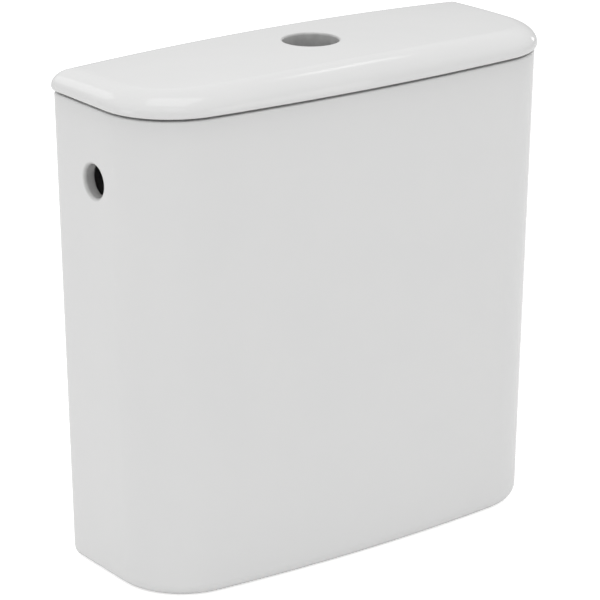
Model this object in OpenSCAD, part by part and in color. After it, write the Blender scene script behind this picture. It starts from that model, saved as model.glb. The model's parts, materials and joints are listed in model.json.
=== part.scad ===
// Close-coupled toilet cistern: ceramic tank and lid, dual-flush valve and side-entry fill valve.
// Frame: x = 0 at mid-width, y = 0 on the wall plane behind the tank, z = 0 on the base.
// The front faces -y.

/* [Tank] */
// Width of the tank at its rim
tank_w = 365; // [350:1:420]
// Depth of the tank at its rim, from the wall to the middle of the front
tank_d = 138; // [136:1:170]
// Height of the rim above the base
tank_h = 354; // [345:0.1:400]
// How far the middle of the front stands out past its corners
front_bulge = 11.4; // [4:0.1:16]
// Radius of the front corners, seen from above
front_corner_r = 55; // [35:1:58]
// Radius of the back corners, seen from above
back_corner_r = 15; // [10:1:20]
// How much each side draws in from the rim to the base
side_taper = 6.2; // [1:0.1:9]
// How much the front draws in from the rim to the base
front_taper = 4.1; // [1:0.1:7]
// Rounding of the outer edge of the base
base_edge_r = 9.3; // [4:0.1:10]
// Rounding of the rim's edges
rim_edge_r = 1.2; // [0.4:0.1:2]
// Thickness of the walls
wall_t = 9.5; // [8:0.5:11]
// Thickness of the skirt below the floor
skirt_t = 14; // [13:0.5:15]
// Height of the hollow under the floor
skirt_h = 58; // [55:1:62]
// Thickness of the floor
floor_t = 11; // [9:0.5:14]
// Fillet between the floor and the walls
floor_fillet_r = 5; // [2:0.5:6]

/* [Lid] */
// Gap between the rim and the lid, filled by the buffers
lid_gap = 1.6; // [1:0.1:3]
// How far the lid stands out past the tank at the front and sides
lid_overhang = 1.9; // [0.5:0.1:4]
// How far the lid's back edge stays in front of the wall plane
lid_back_in = 0.5; // [0.2:0.1:4]
// Radius of the lid's back corners at its widest line, seen from above
lid_corner_r = 13; // [10:0.5:18]
// Height from the lid's lower edge to its widest line
lid_edge_h = 3.3; // [2:0.1:5]
// Height of the rounded edge above the widest line
lid_round_h = 17.7; // [14:0.1:20]
// Width of the rounded edge, seen from above
lid_round_w = 18; // [10:0.5:20]
// How far the top falls from the middle to the sides
lid_crown = 5.2; // [0:0.1:7]
// How far the top falls from the middle to the front and back
lid_bow = 1.5; // [0:0.1:3]
// Thickness of the lid's top
lid_t = 13.5; // [11:0.5:15]
// Depth of the locating rib below the lid's lower edge
rib_h = 10; // [6:0.5:14]
// Thickness of the locating rib
rib_t = 6; // [5:0.5:8]
// Gap between the locating rib and the tank wall
rib_gap = 2.5; // [1.5:0.1:4]
// Diameter of the button opening
button_hole_d = 40.4; // [40:0.1:46]
// Rounding of the button opening's upper edge
button_hole_edge_r = 1.9; // [1:0.1:4]
// Radius of a lid buffer
buffer_r = 1.8; // [1.5:0.1:2]

/* [Openings in the tank] */
// Diameter of the two side holes
inlet_hole_d = 24; // [23:0.5:27]
// Distance from the middle of the front back to the side holes
inlet_front = 80; // [76:0.1:82]
// Distance from the rim down to the side holes
inlet_down = 53; // [50:0.1:56]
// Rounding of the side holes' outer edges
inlet_hole_edge_r = 2.5; // [0.5:0.1:3]
// Radius of the flat land round each side hole, inside
land_r = 19; // [18:0.5:20]
// How far that land is sunk into the wall
land_cut = 0.9; // [0:0.1:2]
// Distance from the wall plane to the flush outlet and the button opening
valve_y = 64.4; // [63:0.1:67]
// Diameter of the outlet hole in the floor
outlet_hole_d = 63; // [61:0.5:66]
// Distance between the tie bolts
bolt_spacing = 150; // [140:1:170]
// Diameter of the tie bolt holes
bolt_hole_d = 11; // [9:0.5:12]
// Distance between the wall screw holes
screw_spacing = 200; // [150:1:240]
// Distance from the rim down to the wall screw holes
screw_down = 32; // [27:0.1:50]
// Diameter of the wall screw holes
screw_hole_d = 8; // [6:0.5:10]

/* [Flush outlet] */
// Outer diameter of the threaded tail
tail_d = 59.6; // [58:0.1:60]
// Diameter of the tail's lower bore
tail_bore_d = 49; // [46:0.5:52]
// Diameter of the bore under the seat
seat_bore_d = 47; // [44:0.5:48]
// Length of the tail below the tank's floor
tail_len = 42; // [36:1:48]
// Pitch of the tail's thread
tail_pitch = 2.3; // [1.5:0.1:3]
// Depth of the tail's thread
tail_thread_h = 1.2; // [0.5:0.1:1.4]
// Diameter of the base flange
flange_d = 88; // [84:1:92]
// Thickness of the base flange
flange_t = 5; // [4:0.5:7]
// Height of the seat above the flange
seat_h = 5; // [4:0.5:8]
// Thickness of the wall round the seat
seat_wall = 3.5; // [2.5:0.5:5]
// Thickness of the rubber ring under the flange
base_washer_t = 3; // [2:0.5:4]
// How far the rubber ring stays inside the flange's edge
base_washer_in = 1; // [0.5:0.1:2]
// Diameter of the nut under the floor
backnut_d = 67; // [65:0.5:68]
// Height of the nut under the floor
backnut_h = 11; // [8:0.5:14]
// Radius of each grip rib on the nut
backnut_rib_r = 2; // [1.5:0.1:2]
// Number of grip ribs on the nut
backnut_ribs = 10; // [6:1:14]
// Diameter of the coupling gasket
gasket_d = 84; // [80:0.5:86]
// Height of the coupling gasket
gasket_h = 38; // [34:1:40]
// Chamfer of the coupling gasket's lower edge
gasket_chamfer = 5; // [2:0.5:6]

/* [Flush valve] */
// Diameter of the cage
cage_d = 80; // [78:1:82]
// Thickness of the cage wall
cage_t = 3; // [2:0.5:3.5]
// Height of the cage
cage_h = 62; // [58:1:70]
// Thickness of the cage's top plate
cage_plate_t = 4; // [3:0.5:6]
// Number of water windows in the cage
cage_windows = 6; // [4:2:6]
// Width of a water window
cage_window_w = 25; // [16:1:28]
// Height of a water window
cage_window_h = 38; // [28:1:40]
// Diameter of the overflow tube
tube_d = 30; // [28:0.5:30]
// Wall of the overflow tube
tube_t = 2.5; // [2:0.1:3]
// Length of the tube below the seat
tube_below_seat = 6; // [4:0.5:8]
// Diameter of the tube's foot
foot_d = 62; // [60:1:64]
// Thickness of the tube's foot
foot_t = 3; // [2:0.5:5]
// Height of the stiffening fins on the foot
foot_fin_h = 16; // [8:1:20]
// Number of stiffening fins on the foot
foot_fins = 6; // [4:1:8]
// Diameter of the flush seal
seal_d = 66; // [64:1:68]
// Thickness of the flush seal
seal_t = 4; // [3:0.5:5]
// Thickness of the ring that holds the seal
retainer_t = 3; // [2:0.5:4]
// Height of the half-flush windows, as a share of the way from the floor up to the overflow
half_share = 0.527; // [0.5:0.001:0.58]
// Height of a half-flush window
half_window_h = 9; // [6:0.5:10]
// Width of a half-flush window
half_window_w = 12; // [8:0.5:14]
// Wall of the half-flush sleeve
sleeve_t = 3.2; // [3:0.1:3.6]
// Height of the half-flush sleeve
sleeve_h = 48; // [40:1:54]
// Thickness of the sleeve's O-rings
oring_d = 2; // [1.6:0.1:2.2]
// Distance from a half-flush window to the O-ring above or below it
oring_off = 4; // [3.5:0.5:5]

/* [Flush tower] */
// Distance between the middles of the two legs
leg_spacing = 62; // [60:1:64]
// Width of a leg
leg_w = 12; // [10:0.5:14]
// Thickness of a leg
leg_t = 5; // [4.5:0.5:6]
// Wall of the socket at a leg's foot
socket_wall = 2; // [1.5:0.5:2.5]
// Depth of the socket at a leg's foot
socket_h = 12; // [8:1:16]
// Number of notches along a leg
leg_notches = 14; // [6:1:18]
// Distance from notch to notch
notch_pitch = 4; // [3:0.5:5]
// Depth of a notch
notch_depth = 1; // [0.5:0.1:1.5]
// Thickness of the bridge on top of the legs
bridge_t = 5; // [4.5:0.5:8]
// Diameter of the round middle of the bridge
bridge_d = 52; // [46:1:56]
// Width of the bridge's arms to the legs
bridge_arm_w = 18; // [16:0.5:22]
// How far a leg's top is sunk into the bridge
leg_sink = 3; // [2:0.5:3.5]

/* [Flush levers] */
// How far the overflow tube, or the sleeve on it, is lifted
valve_lift = 15; // [14:0.5:16]
// How far each button travels
button_travel = 6; // [4:0.5:6]
// Distance from the lever pin to a push rod
push_arm = 11; // [10.5:0.1:11]
// Distance from the lever pin to a lever's lifting end
lift_arm = 27; // [25:0.5:28]
// Thickness of a lever's arms
lever_t = 6; // [5:0.5:7]
// Width of a lever along its pin
lever_w = 6; // [5:0.5:6.5]
// Gap between the two levers
lever_gap = 3; // [2:0.5:4]
// Diameter of a lever's hub
lever_hub_d = 12; // [11:0.5:13]
// Diameter of the lever pin
lever_pin_d = 5; // [4:0.5:6]
// Thickness of a lifting hook
hook_t = 4; // [3:0.5:5]
// Thickness of a lifting hook's upright
upright_t = 3; // [2.5:0.5:4]
// Gap between a lever's lifting end and an upright
upright_gap = 3; // [2:0.5:4]
// How far a hook reaches in past a lever's lifting end
hook_reach = 8; // [6:0.5:10]

/* [Buttons] */
// Gap between the lid's underside and the collar round the buttons
collar_gap = 3; // [1:0.1:4]
// Diameter of the collar
collar_d = 40; // [39:0.5:40]
// Height of the collar
collar_h = 4; // [3:0.5:6]
// Height of the button housing
housing_h = 24; // [23:0.5:28]
// Thickness of the housing's floor
housing_floor_t = 3; // [2:0.5:4]
// Wall of the housing
housing_wall = 2.4; // [2:0.1:2.5]
// Distance from the middle to the split between the buttons
button_split = 3; // [1:0.5:3]
// Gap between the two buttons
button_gap = 0.6; // [0.4:0.1:1]
// Room between the housing's floor and a button that is fully pressed
button_room = 3.5; // [1:0.5:5]
// Thickness of a button's top
button_top_t = 3.5; // [3:0.5:5]
// Wall of a button
button_wall = 1.8; // [1.5:0.1:2]
// How far the buttons sit below the collar's top
button_drop = 0.5; // [0.2:0.1:1.5]
// Diameter of a push rod
rod_d = 4; // [3.5:0.5:4.5]
// Diameter of a button spring, at the middle of its wire
spring_d = 5.6; // [5.4:0.1:5.8]
// Diameter of the spring wire
wire_d = 0.8; // [0.6:0.1:0.9]
// Number of curls in a button spring
spring_curls = 6; // [4:1:7]

/* [Tie bolts] */
// Diameter of a tie bolt
bolt_d = 8; // [6:0.5:8]
// How far a tie bolt reaches below the floor
bolt_reach = 50; // [40:1:54]
// Depth of a tie bolt's thread
bolt_thread_h = 0.6; // [0.4:0.1:0.8]
// Width of a tie bolt's head and nut across the flats
bolt_flats = 13; // [11:0.5:15]
// Height of a tie bolt's head
bolt_head_h = 5.5; // [4:0.5:7]
// Height of a tie bolt's nut
bolt_nut_h = 6.5; // [5:0.5:8]
// Diameter of the rubber washer under a bolt's head
bolt_seal_d = 26; // [22:0.5:30]
// Thickness of the rubber washer
bolt_seal_t = 4; // [3:0.5:6]
// Diameter of a steel washer
bolt_washer_d = 22; // [18:0.5:24]
// Thickness of a steel washer
bolt_washer_t = 1.6; // [1:0.1:2]

/* [Fill valve] */
// Outer diameter of the inlet thread
inlet_thread_d = 20.96; // [20:0.01:22]
// Depth of the inlet thread
inlet_thread_h = 1.1; // [0.8:0.1:1.2]
// Length of the inlet thread past its nut
inlet_thread_len = 13.5; // [12:0.5:20]
// Diameter of the waterway
waterway_d = 12; // [10:0.5:13]
// Diameter of the inlet flange
inlet_flange_d = 32; // [30:0.5:34]
// Thickness of the inlet flange
inlet_flange_t = 4; // [3:0.5:5]
// Thickness of the rubber washer against the wall
inlet_washer_t = 3; // [2:0.5:4]
// Width of the inlet nut across the flats
inlet_nut_flats = 30; // [27:0.5:32]
// Height of the inlet nut
inlet_nut_h = 8; // [6:0.5:10]
// Diameter of the neck
neck_d = 22; // [20:0.5:24]
// Length of the neck from the flange to the chamber
neck_len = 39; // [37:0.5:42]
// Diameter of the chamber
chamber_d = 38; // [36:0.5:40]
// Length of the chamber
chamber_len = 10; // [8:0.5:12]
// Thickness of the diaphragm
diaphragm_t = 4; // [3:0.5:5]
// Wall of the cap over the chamber
cap_wall = 2.8; // [2:0.1:3.2]
// Thickness of the cap's face
cap_face_t = 4; // [3:0.5:6]
// Depth of the space in the cap in front of the diaphragm
cap_space = 4; // [3:0.5:6]
// How far the cap reaches over the chamber
cap_over = 8; // [6:0.5:8]
// Diameter of the stub that feeds the discharge tube
stub_d = 14; // [13:0.5:15]
// Length of the stub below the neck
stub_len = 15; // [10:1:18]
// Wall of the discharge tube
discharge_t = 2; // [1.5:0.1:2.4]
// Height of the discharge tube's end above the floor
discharge_gap = 20; // [12:1:30]
// Depth of the hollow in the chamber behind the diaphragm
chamber_room = 3.3; // [2:0.1:4]
// Length of the inlet filter
filter_len = 14; // [10:1:16]
// Thickness of the inlet filter's rim and end
filter_rim_t = 2; // [1.5:0.1:2.2]
// Width of a slot in the inlet filter
filter_slot_w = 1.6; // [1:0.1:2]
// Wall of the inlet filter
filter_wall = 0.8; // [0.6:0.1:1]

/* [Float] */
// Distance from the cap's face to the float lever's pin
float_pin_out = 7; // [6:0.5:9]
// Height of the float lever's pin above the inlet
float_pin_up = 14; // [12:0.5:16]
// Diameter of the float lever's pin
float_pin_d = 4; // [3:0.5:5]
// Thickness of an ear that holds the pin
ear_t = 3; // [2.5:0.5:4]
// Gap between the ears
ear_gap = 14; // [12:0.5:15]
// Height of the lever's arm above its pin
arm_up = 16; // [15:0.5:18]
// Thickness of the lever's arm
arm_t = 4; // [3:0.5:5]
// Width of the lever's arm
arm_w = 6; // [5:0.5:7]
// Distance along the arm from the pin to the middle of the rod slot
arm_len = 53.6; // [52:0.1:55]
// Distance from the inlet to the float rod, towards the front
float_rod_front = 20; // [19:0.5:21]
// Angle of the lever below level when the float is down; it swings as far above
float_droop = 9; // [7:0.5:10]
// Diameter of the float rod
float_rod_d = 5; // [4:0.5:5.5]
// Distance from the inlet's axis down to the float's top, when the float is down
float_drop = 51; // [46:1:61]
// Height of the float
float_h = 50; // [40:1:52]
// Width of the float
float_w = 48; // [44:1:49]
// Depth of the float, from front to back
float_d = 56; // [54:1:58]
// Wall of the float
float_wall = 2; // [1.5:0.1:3]
// Rounding of the float's upright edges
float_corner_r = 8; // [4:0.5:10]
// Distance from the float's guide to its back edge
float_lip = 10; // [9:0.5:11]
// Diameter of the adjuster wheel on the float rod
adjuster_d = 13; // [11:0.5:15]
// Height of the adjuster wheel
adjuster_h = 5; // [4:0.5:7]
// Number of grooves round the adjuster wheel
adjuster_knurls = 16; // [10:1:20]
// Radius of a groove on the adjuster wheel
knurl_r = 0.65; // [0.4:0.05:0.8]

/* [Fits] */
// Radial gap of static fits, such as a nut on its thread
fit_gap = 0.1; // [0.05:0.01:0.2]
// Radial gap of pieces that turn on a pin
turn_gap = 0.06; // [0.03:0.01:0.1]
// Gap of pieces that slide past each other
slide_gap = 0.4; // [0.3:0.05:0.6]
// Gap between a lever and the rod or hook that it works with
touch_gap = 0.4; // [0.3:0.05:0.6]
// Plain length between a nut and the free thread beyond it
thread_relief = 1; // [0.5:0.1:2]

/* [Hidden] */
$fn = 64;
// How far a cut runs past the face that it opens
over = 1;
// Least radius of an outline's corner
least_r = 2;
// Height of the step in the tail's bore below the floor's underside
bore_step = 2;
// Share of the neck's length from the flange to the stub
stub_share = 0.65;
// Points along half the front, each front corner, each back corner and each rounded edge
front_steps = 12;
corner_steps = 12;
back_steps = 6;
edge_steps = 5;

// Heights of the ceramic
floor_z = skirt_h + floor_t;
lid_z = tank_h + lid_gap;
lid_wide_z = lid_z + lid_edge_h;
lid_top_z = lid_wide_z + lid_round_h;
lid_under_z = lid_top_z - lid_t;
rib_in = wall_t + rib_gap;
screw_z = tank_h - screw_down;

// Heights of the flush outlet and valve
flange_z = floor_z + base_washer_t;
flange_top = flange_z + flange_t;
seat_z = flange_top + seat_h;
tail_end = skirt_h - tail_len;
seal_top = seat_z + seal_t;
foot_top = seal_top + foot_t;
cage_top = flange_top + cage_h;
tube_r = tube_d / 2;
sleeve_r = tube_r + slide_gap + sleeve_t;
retainer_r = seat_bore_d / 2 - slide_gap;

// Heights of the buttons, bridge and levers, hung from the lid
collar_top = lid_under_z - collar_gap;
housing_top = collar_top - collar_h;
housing_z = housing_top - housing_h;
spring_z = housing_z + housing_floor_t;
button_top = collar_top - button_drop;
button_roof = button_top - button_top_t;
button_h = button_top - spring_z - button_travel - button_room;
bridge_z = housing_z - bridge_t;
hook_z = bridge_z - 2 * valve_lift - hook_t - 2 * touch_gap;
pivot_z = hook_z - touch_gap - lever_t / 2;
rod_tip_z = pivot_z + lever_t / 2 + touch_gap;
// Room below a lever pin for the lever's push arm and the lifted tube
tube_room = push_arm + lever_t + valve_lift;
overflow_z = pivot_z - tube_room;
housing_r = collar_d / 2;
button_r = housing_r - housing_wall - slide_gap;
lever_mid = (lever_gap + lever_w) / 2;
hook_w = lever_w + 2 * touch_gap;
upright_in = lift_arm + upright_gap;
upright_out = upright_in + upright_t;
leg_mid = leg_spacing / 2;
// Each push rod stands on its own lever, clear of the other lever
rod_y = (lever_gap + rod_d) / 2;
half_window_z = floor_z + half_share * (overflow_z - floor_z);
sleeve_z = half_window_z - 2 * oring_off;
sleeve_ring_z = [half_window_z - oring_off, half_window_z + half_window_h + oring_off];
hook_arm_h = lever_w;

// Tie bolts: heads inside the tank, nuts under its floor
bolt_head_z = floor_z + bolt_seal_t + bolt_washer_t;
bolt_nut_z = skirt_h - bolt_washer_t - bolt_nut_h;
bolt_root_r = bolt_d / 2 - bolt_thread_h;

// Places of the fill valve
function half_width(z) = tank_w / 2 - side_taper * max(0, 1 - z / tank_h);
inlet_y = tank_d - inlet_front;
inlet_z = tank_h - inlet_down;
inlet_root_r = inlet_thread_d / 2 - inlet_thread_h;
land_x = half_width(inlet_z + land_r) - wall_t + land_cut;
nut_r = inlet_nut_flats / 2 / cos(30);
nut_x = half_width(inlet_z + nut_r) + fit_gap;
nut_end = nut_x + inlet_nut_h;
thread_end = nut_end + inlet_thread_len;
flange_x = land_x - inlet_washer_t - inlet_flange_t;
chamber_x = flange_x - neck_len;
chamber_face = chamber_x - chamber_len;
cap_r = chamber_d / 2 + fit_gap + cap_wall;
cap_shoulder = chamber_face - diaphragm_t;
cap_face = cap_shoulder - cap_space - cap_face_t;
stub_x = flange_x - stub_share * neck_len;
stub_z = inlet_z - neck_d / 2 - stub_len;
discharge_r = stub_d / 2 + fit_gap + discharge_t;
discharge_top = inlet_z - neck_d / 2 - 2 * fit_gap;
float_pin_x = cap_face - float_pin_out;
float_pin_z = inlet_z + float_pin_up;
float_top_z = inlet_z - float_drop;
float_z = float_top_z - float_h;
float_rod_x = float_pin_x + arm_len;
float_rod_y = -inlet_y - float_rod_front;
// Place where the drooping arm crosses the float rod
slot_run = (arm_len - arm_up * sin(float_droop)) / cos(float_droop);
slot_z = float_pin_z + arm_up * cos(float_droop) - slot_run * sin(float_droop);
rod_collar_r = float_rod_d;
rod_collar_t = arm_t;
rod_collar_gap = arm_t / 2 + rod_collar_r * tan(float_droop) + touch_gap;

// Plan of the tank: a bowed front, wide front corners, small back corners and a flat back on y = 0
function front_line(x, w, d) = front_bulge * pow(x / w, 2) - d;
function half_plan(w, d, rf, rb) =
    let (
        cx = w - rf,
        lean = atan(2 * front_bulge * cx / (w * w)),
        tx = cx + rf * sin(lean),
        cy = front_line(tx, w, d) + rf * cos(lean)
    )
    concat(
        [for (i = [0 : front_steps - 1]) let (x = tx * i / front_steps) [x, front_line(x, w, d)]],
        [for (i = [0 : corner_steps]) let (a = lean - 90 + (90 - lean) * i / corner_steps)
            [cx + rf * cos(a), cy + rf * sin(a)]],
        [for (i = [0 : back_steps]) let (a = 90 * i / back_steps) [w - rb + rb * cos(a), rb * sin(a) - rb]]
    );
function plan(w, d, rf, rb) =
    let (half = half_plan(w, d, rf, rb))
    concat(half, [for (i = [len(half) - 1 : -1 : 1]) [-half[i][0], half[i][1]]]);

// Ring of points at height z: the tank's plan there, drawn in by inset, with its back line at -back_in
function ring(z, inset, back_in, back_r = back_corner_r) =
    let (
        w = half_width(z) - inset,
        front = tank_d - front_taper * max(0, 1 - z / tank_h) - inset,
        rf = max(front_corner_r - inset, least_r),
        rb = max(back_r - inset, least_r)
    )
    [for (p = plan(w, front - back_in, rf, rb)) [p[0], p[1] - back_in, z]];
function tank_ring(z, inset) = ring(z, inset, inset);
function quarter(i) = 90 * i / edge_steps;
// How far the back draws in at height z: it stays flat almost down to the base
function base_back(z) =
    z < rim_edge_r ? rim_edge_r - sqrt(pow(rim_edge_r, 2) - pow(rim_edge_r - z, 2)) : 0;

// Rings of the tank, from its floor up the inside, over the rim, down the outside and up into the skirt
tank_rings = concat(
    [for (i = [0 : edge_steps]) let (a = quarter(i))
        tank_ring(floor_z + floor_fillet_r * (1 - cos(a)), wall_t + floor_fillet_r * (1 - sin(a)))],
    [tank_ring(tank_h - rim_edge_r, wall_t), tank_ring(tank_h, wall_t - rim_edge_r)],
    [tank_ring(tank_h, rim_edge_r), tank_ring(tank_h - rim_edge_r, 0)],
    [for (i = [0 : edge_steps]) let (a = quarter(i), z = base_edge_r * (1 - sin(a)))
        ring(z, base_edge_r * (1 - cos(a)), base_back(z))],
    [tank_ring(0, skirt_t - rim_edge_r), tank_ring(rim_edge_r, skirt_t)],
    [for (i = [0 : edge_steps]) let (a = quarter(i))
        tank_ring(skirt_h - floor_fillet_r * (1 - sin(a)), skirt_t + floor_fillet_r * (1 - cos(a)))]
);

// Fall of the lid's top at a place, and rings on its top, rounded edge, rim, rib and underside
function crown(p) = lid_crown * pow(2 * p[0] / tank_w, 2) + lid_bow * pow(2 * p[1] / tank_d + 1, 2);
function lid_ring(inset) =
    ring(tank_h, inset - lid_overhang, inset + lid_back_in, lid_corner_r - lid_overhang);
function lid_edge(a) =
    [for (p = lid_ring(lid_round_w * (1 - cos(a))))
        [p[0], p[1], lid_wide_z + sin(a) * (lid_round_h - crown(p))]];
function lid_tuck(a) =
    [for (p = lid_ring((lid_overhang + rim_edge_r) * (1 - cos(a))))
        [p[0], p[1], lid_wide_z - lid_edge_h * sin(a)]];
function lid_face(inset, share, z) =
    [for (p = ring(tank_h, inset, max(inset, lid_back_in)))
        let (x = p[0] * share, y = share * (p[1] + valve_y) - valve_y)
        [x, y, z - crown([x, y])]];
top_shares = [0.02, 0.2, 0.4, 0.6, 0.8];
lid_top_in = lid_round_w - lid_overhang;
lid_rings = concat(
    [for (s = top_shares) lid_face(lid_top_in, s, lid_top_z)],
    [for (i = [edge_steps : -1 : 0]) lid_edge(quarter(i))],
    [for (i = [1 : edge_steps]) lid_tuck(quarter(i))],
    [ring(lid_z, rib_in, rib_in), ring(lid_z - rib_h, rib_in, rib_in)],
    [ring(lid_z - rib_h, rib_in + rib_t, rib_in + rib_t)],
    [for (i = [len(top_shares) : -1 : 0])
        lid_face(rib_in + rib_t, i == len(top_shares) ? 1 : top_shares[i], lid_under_z)]
);

// Closed solid through rings of equally many points, each ring with the next towards the solid's outside
module loft(rings) {
    n = len(rings[0]);
    last = len(rings) - 1;
    sides = [for (j = [0 : last - 1], i = [0 : n - 1])
        let (k = (i + 1) % n)
        each [[j * n + i, j * n + k, (j + 1) * n + k], [j * n + i, (j + 1) * n + k, (j + 1) * n + i]]];
    first_cap = [for (i = [n - 1 : -1 : 0]) i];
    last_cap = [for (i = [0 : n - 1]) last * n + i];
    polyhedron([for (r = rings) each r], concat([first_cap], sides, [last_cap]));
}

// Ring with its axis along z
module washer(outer_r, inner_r, h) {
    difference() {
        cylinder(r = outer_r, h = h);
        translate([0, 0, -over]) cylinder(r = inner_r, h = h + 2 * over);
    }
}

// Hexagonal nut, by its width across the flats
module hexagon(flats, h) {
    cylinder(r = flats / 2 / cos(30), h = h, $fn = 6);
}

// Ring that cuts a rounded edge of radius e round a hole of radius r, whose upper face is z = 0
module edge_cutter(r, e) {
    rotate_extrude()
        translate([r, -e]) difference() {
            square([e, e + over]);
            translate([e, 0]) circle(r = e);
        }
}

// Outline of a rectangle with round corners
function rounded(x, y, r) =
    [for (c = [[1, 1, 0], [-1, 1, 90], [-1, -1, 180], [1, -1, 270]], i = [0 : edge_steps])
        let (a = c[2] + quarter(i))
        [c[0] * (x / 2 - r) + r * cos(a), c[1] * (y / 2 - r) + r * sin(a)]];

module at_valve(z) {
    translate([0, -valve_y, z]) children();
}

module at_bolts(z) {
    for (side = [-1, 1]) translate([side * bolt_spacing / 2, -valve_y, z]) children();
}

// Along the inlet's axis, with z turned to +x
module at_inlet(x) {
    translate([x, -inlet_y, inlet_z]) rotate([0, 90, 0]) children();
}

// Side hole with a rounded edge outside and a flat land inside
module side_hole(side) {
    translate([side * half_width(inlet_z), -inlet_y, inlet_z]) rotate([0, side * 90, 0]) {
        translate([0, 0, -wall_t - over]) cylinder(d = inlet_hole_d, h = wall_t + 2 * over);
        edge_cutter(inlet_hole_d / 2, inlet_hole_edge_r);
    }
    translate([side * land_x, -inlet_y, inlet_z]) rotate([0, -side * 90, 0])
        cylinder(r = land_r, h = wall_t);
}

module tank() {
    color("white")
        difference() {
            loft(tank_rings);
            side_hole(-1);
            side_hole(1);
            at_valve(skirt_h - over) cylinder(d = outlet_hole_d, h = floor_t + 2 * over);
            at_bolts(skirt_h - over) cylinder(d = bolt_hole_d, h = floor_t + 2 * over);
            for (side = [-1, 1])
                translate([side * screw_spacing / 2, over, screw_z]) rotate([90, 0, 0])
                    cylinder(d = screw_hole_d, h = wall_t + 2 * over);
        }
}

module lid() {
    color("white")
        difference() {
            loft(lid_rings);
            at_valve(lid_under_z - over) cylinder(d = button_hole_d, h = lid_t + 2 * over);
            at_valve(lid_top_z) edge_cutter(button_hole_d / 2, button_hole_edge_r);
        }
}

module lid_buffers() {
    rim_in = wall_t - rim_edge_r - buffer_r - fit_gap;
    color("dimgray")
        for (side = [-1, 1]) {
            x = side * tank_w / 4;
            translate([x, -rim_in, tank_h]) cylinder(r = buffer_r, h = lid_gap);
            translate([x, front_line(x, tank_w / 2, tank_d) + rim_in, tank_h])
                cylinder(r = buffer_r, h = lid_gap);
        }
}

// Profile of the base: threaded tail, flange and seat
function tail_thread() =
    let (count = floor((tail_len - backnut_h / 2) / tail_pitch), r = tail_d / 2)
    [for (i = [0 : count - 1]) each
        [[r - tail_thread_h, tail_end + i * tail_pitch], [r, tail_end + (i + 0.5) * tail_pitch]]];

module valve_base() {
    step_z = skirt_h - bore_step;
    seat_r = seat_bore_d / 2 + seat_wall;
    color("whitesmoke")
        at_valve(0) rotate_extrude() polygon(concat(
            [[tail_bore_d / 2, step_z], [tail_bore_d / 2, tail_end]],
            tail_thread(),
            [[tail_d / 2, skirt_h], [tail_d / 2, flange_z]],
            [[flange_d / 2, flange_z], [flange_d / 2, flange_top]],
            [[seat_r, flange_top], [seat_r, seat_z], [seat_bore_d / 2, seat_z], [seat_bore_d / 2, step_z]]
        ));
}

module base_washer() {
    color("dimgray")
        at_valve(floor_z) washer(flange_d / 2 - base_washer_in, tail_d / 2 + fit_gap, base_washer_t);
}

module valve_backnut() {
    color("white")
        at_valve(skirt_h - backnut_h) difference() {
            union() {
                cylinder(d = backnut_d, h = backnut_h);
                for (i = [0 : backnut_ribs - 1]) rotate([0, 0, 360 * i / backnut_ribs])
                    translate([backnut_d / 2, 0, 0]) cylinder(r = backnut_rib_r, h = backnut_h);
            }
            translate([0, 0, -over]) cylinder(r = tail_d / 2 + fit_gap, h = backnut_h + 2 * over);
        }
}

module coupling_gasket() {
    low = skirt_h - gasket_h;
    step_z = skirt_h - backnut_h - slide_gap;
    nut_room = backnut_d / 2 + backnut_rib_r + slide_gap;
    tail_room = tail_d / 2 + slide_gap;
    r = gasket_d / 2;
    color("#303030")
        at_valve(0) rotate_extrude() polygon([
            [tail_room, low], [r - gasket_chamfer, low], [r, low + gasket_chamfer], [r, skirt_h],
            [nut_room, skirt_h], [nut_room, step_z], [tail_room, step_z]
        ]);
}

module valve_cage() {
    plate_z = cage_top - cage_plate_t;
    window_z = flange_top + (cage_h - cage_plate_t - cage_window_h) / 2;
    socket = [leg_w + 2 * socket_wall, leg_t + 2 * socket_wall];
    color("lightsteelblue")
        at_valve(0) difference() {
            union() {
                translate([0, 0, flange_top]) washer(cage_d / 2, cage_d / 2 - cage_t, cage_h);
                translate([0, 0, plate_z]) cylinder(r = cage_d / 2 - cage_t / 2, h = cage_plate_t);
                for (side = [-1, 1])
                    translate([-socket[0] / 2, side * leg_mid - socket[1] / 2, plate_z])
                        cube([socket[0], socket[1], cage_plate_t + socket_h]);
            }
            for (i = [0 : cage_windows / 2 - 1])
                rotate([0, 0, 360 * (i + 0.5) / cage_windows])
                    translate([-cage_d, -cage_window_w / 2, window_z])
                        cube([2 * cage_d, cage_window_w, cage_window_h]);
            translate([0, 0, plate_z - over])
                cylinder(r = tube_r + slide_gap, h = cage_plate_t + 2 * over);
            for (side = [-1, 1])
                translate([-leg_w / 2 - fit_gap, side * leg_mid - leg_t / 2 - fit_gap, cage_top])
                    cube([leg_w + 2 * fit_gap, leg_t + 2 * fit_gap, socket_h + over]);
        }
}

module tower_legs() {
    notch_z = cage_top + socket_h + notch_pitch;
    notch_w = notch_depth * sqrt(2);
    color("lightsteelblue")
        at_valve(0) for (side = [-1, 1])
            difference() {
                translate([-leg_w / 2, side * leg_mid - leg_t / 2, cage_top])
                    cube([leg_w, leg_t, bridge_z + leg_sink - cage_top]);
                for (i = [0 : leg_notches - 1], edge = [-1, 1])
                    translate([edge * leg_w / 2, side * leg_mid, notch_z + i * notch_pitch])
                        rotate([0, 45, 0])
                            cube([notch_w, leg_t + 2 * over, notch_w], center = true);
                translate([0, side * leg_mid, pivot_z]) rotate([90, 0, 0])
                    cylinder(r = lever_pin_d / 2 + turn_gap, h = leg_t + 2 * over, center = true);
            }
}

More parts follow.
